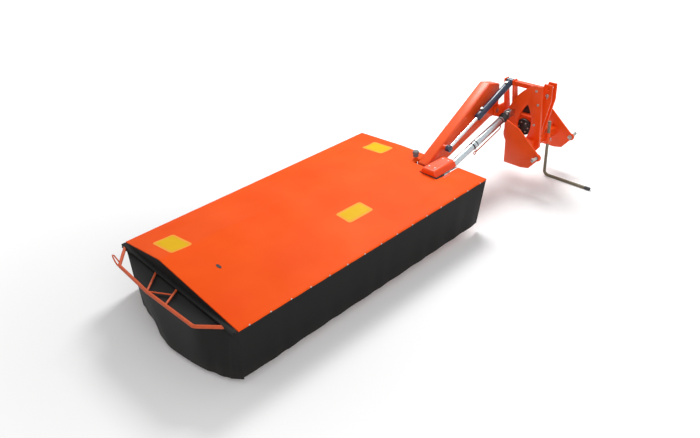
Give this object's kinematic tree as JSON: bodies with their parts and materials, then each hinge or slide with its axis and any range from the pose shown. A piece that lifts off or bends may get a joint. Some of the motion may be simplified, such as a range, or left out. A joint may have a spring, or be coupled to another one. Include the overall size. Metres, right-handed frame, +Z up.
{
  "type": "disc mower",
  "caption": "Side-mounted disc mower with a covered cutterbar, folding front canopy, lift arm, guarded drive shaft and three-point headstock on a parking leg.",
  "frame": {"origin": "centre of the bounding box on the ground", "axes": "+X out along the cutterbar, +Y forward towards the tractor, +Z up"},
  "size_m": [4.639, 2.1203, 1.08],
  "materials": {
    "orange_paint": "gloss enamel",
    "orange_tarpaulin": "coated cloth",
    "black_curtain": "matt",
    "bright_steel": "turned",
    "worn_steel": "worn",
    "dark_paint": "satin",
    "cast_iron": "painted casting",
    "navy_paint": "satin",
    "grey_paint": "satin",
    "silver_guard": "satin",
    "black_plastic": "moulded"
  },
  "bodies": {
    "root": {"cross_tube": "orange_paint", "mast": "orange_paint", "boom": "orange_paint", "ram_brace": "orange_paint", "cheek_plates": "orange_paint", "linkage_pins": "bright_steel", "pivot_pins": "bright_steel", "ring_plate": "orange_paint", "headstock_gearbox": "cast_iron", "output_fork": "bright_steel", "drive_shields": "black_plastic", "leg_socket": "orange_paint"},
    "leg": {"parking_leg": "grey_paint"},
    "drive_input": {"input_shaft": "bright_steel"},
    "barrel": {"ram_barrel": "navy_paint"},
    "rod": {"ram_rod": "bright_steel"},
    "arm": {"carrying_beam": "orange_paint", "drive_shaft": "bright_steel", "shaft_guard": "silver_guard", "guard_collar": "black_plastic"},
    "mower": {"cutterbar": "dark_paint", "skid_shoes": "worn_steel", "main_rail": "orange_paint", "end_posts": "orange_paint", "mower_gearbox": "cast_iron", "input_fork": "bright_steel", "tilt_bracket": "orange_paint", "tilt_pin": "bright_steel", "canopy_frame": "orange_paint", "hinge_rod": "bright_steel", "rear_canopy": "orange_tarpaulin", "rear_skirt": "black_curtain", "end_guard": "orange_paint", "end_skirt": "black_curtain", "shaft_hood": "orange_paint"},
    "flap": {"flap_frame": "orange_paint", "front_canopy": "orange_tarpaulin", "front_skirt": "black_curtain"},
    "disc_1": {"disc_1": "worn_steel"},
    "disc_2": {"disc_2": "worn_steel"},
    "disc_3": {"disc_3": "worn_steel"},
    "disc_4": {"disc_4": "worn_steel"},
    "disc_5": {"disc_5": "worn_steel"},
    "disc_6": {"disc_6": "worn_steel"},
    "disc_7": {"disc_7": "worn_steel"}
  },
  "joints": [
    {"name": "arm_lift", "type": "hinge", "parent": "root", "child": "arm", "pos_m": [-1.706, -0.03, 0.735], "axis": [0, -1, 0], "range_deg": [-15, 85]},
    {"name": "mower_tilt", "type": "hinge", "parent": "arm", "child": "mower", "pos_m": [-0.676, -0.03, 0.47], "axis": [0, -1, 0], "range_deg": [-8, 8]},
    {"name": "flap_hinge", "type": "hinge", "parent": "mower", "child": "flap", "pos_m": [-0.756, 0.065, 0.49109], "axis": [0.9999, 0, 0.0152], "range_deg": [0, 85]},
    {"name": "leg_slide", "type": "slide", "parent": "root", "child": "leg", "axis": [0, 0, 1], "range_m": [0, 0.31]},
    {"name": "ram_swing", "type": "hinge", "parent": "root", "child": "barrel", "pos_m": [-1.856, 0.096, 1.02], "axis": [0, -1, 0], "range_deg": [-14.29, 80.72]},
    {"name": "ram_slide", "type": "slide", "parent": "barrel", "child": "rod", "axis": [0.9319, 0, -0.3628], "range_m": [-0.431, 0.0765]},
    {"name": "input_turn", "type": "hinge", "parent": "root", "child": "drive_input", "pos_m": [-2.0736, 0.3083, 0.735], "axis": [0, 1, 0], "continuous": true},
    {"name": "disc_1_turn", "type": "hinge", "parent": "mower", "child": "disc_1", "pos_m": [-0.531, 0.12, 0.09], "axis": [0, 0, 1], "continuous": true},
    {"name": "disc_2_turn", "type": "hinge", "parent": "mower", "child": "disc_2", "pos_m": [-0.131, 0.12, 0.09], "axis": [0, 0, 1], "continuous": true},
    {"name": "disc_3_turn", "type": "hinge", "parent": "mower", "child": "disc_3", "pos_m": [0.269, 0.12, 0.09], "axis": [0, 0, 1], "continuous": true},
    {"name": "disc_4_turn", "type": "hinge", "parent": "mower", "child": "disc_4", "pos_m": [0.669, 0.12, 0.09], "axis": [0, 0, 1], "continuous": true},
    {"name": "disc_5_turn", "type": "hinge", "parent": "mower", "child": "disc_5", "pos_m": [1.069, 0.12, 0.09], "axis": [0, 0, 1], "continuous": true},
    {"name": "disc_6_turn", "type": "hinge", "parent": "mower", "child": "disc_6", "pos_m": [1.469, 0.12, 0.09], "axis": [0, 0, 1], "continuous": true},
    {"name": "disc_7_turn", "type": "hinge", "parent": "mower", "child": "disc_7", "pos_m": [1.869, 0.12, 0.09], "axis": [0, 0, 1], "continuous": true}
  ],
  "couplings": [
    {"joint": "ram_swing", "follows": "arm_lift", "ratio": 0.9491},
    {"joint": "ram_slide", "follows": "arm_lift", "m_per_rad": -0.29017},
    {"joint": "input_turn", "follows": "disc_1_turn", "ratio": 0.18},
    {"joint": "disc_2_turn", "follows": "disc_1_turn", "ratio": -1},
    {"joint": "disc_3_turn", "follows": "disc_1_turn", "ratio": 1},
    {"joint": "disc_4_turn", "follows": "disc_1_turn", "ratio": -1},
    {"joint": "disc_5_turn", "follows": "disc_1_turn", "ratio": 1},
    {"joint": "disc_6_turn", "follows": "disc_1_turn", "ratio": -1},
    {"joint": "disc_7_turn", "follows": "disc_1_turn", "ratio": 1}
  ]
}
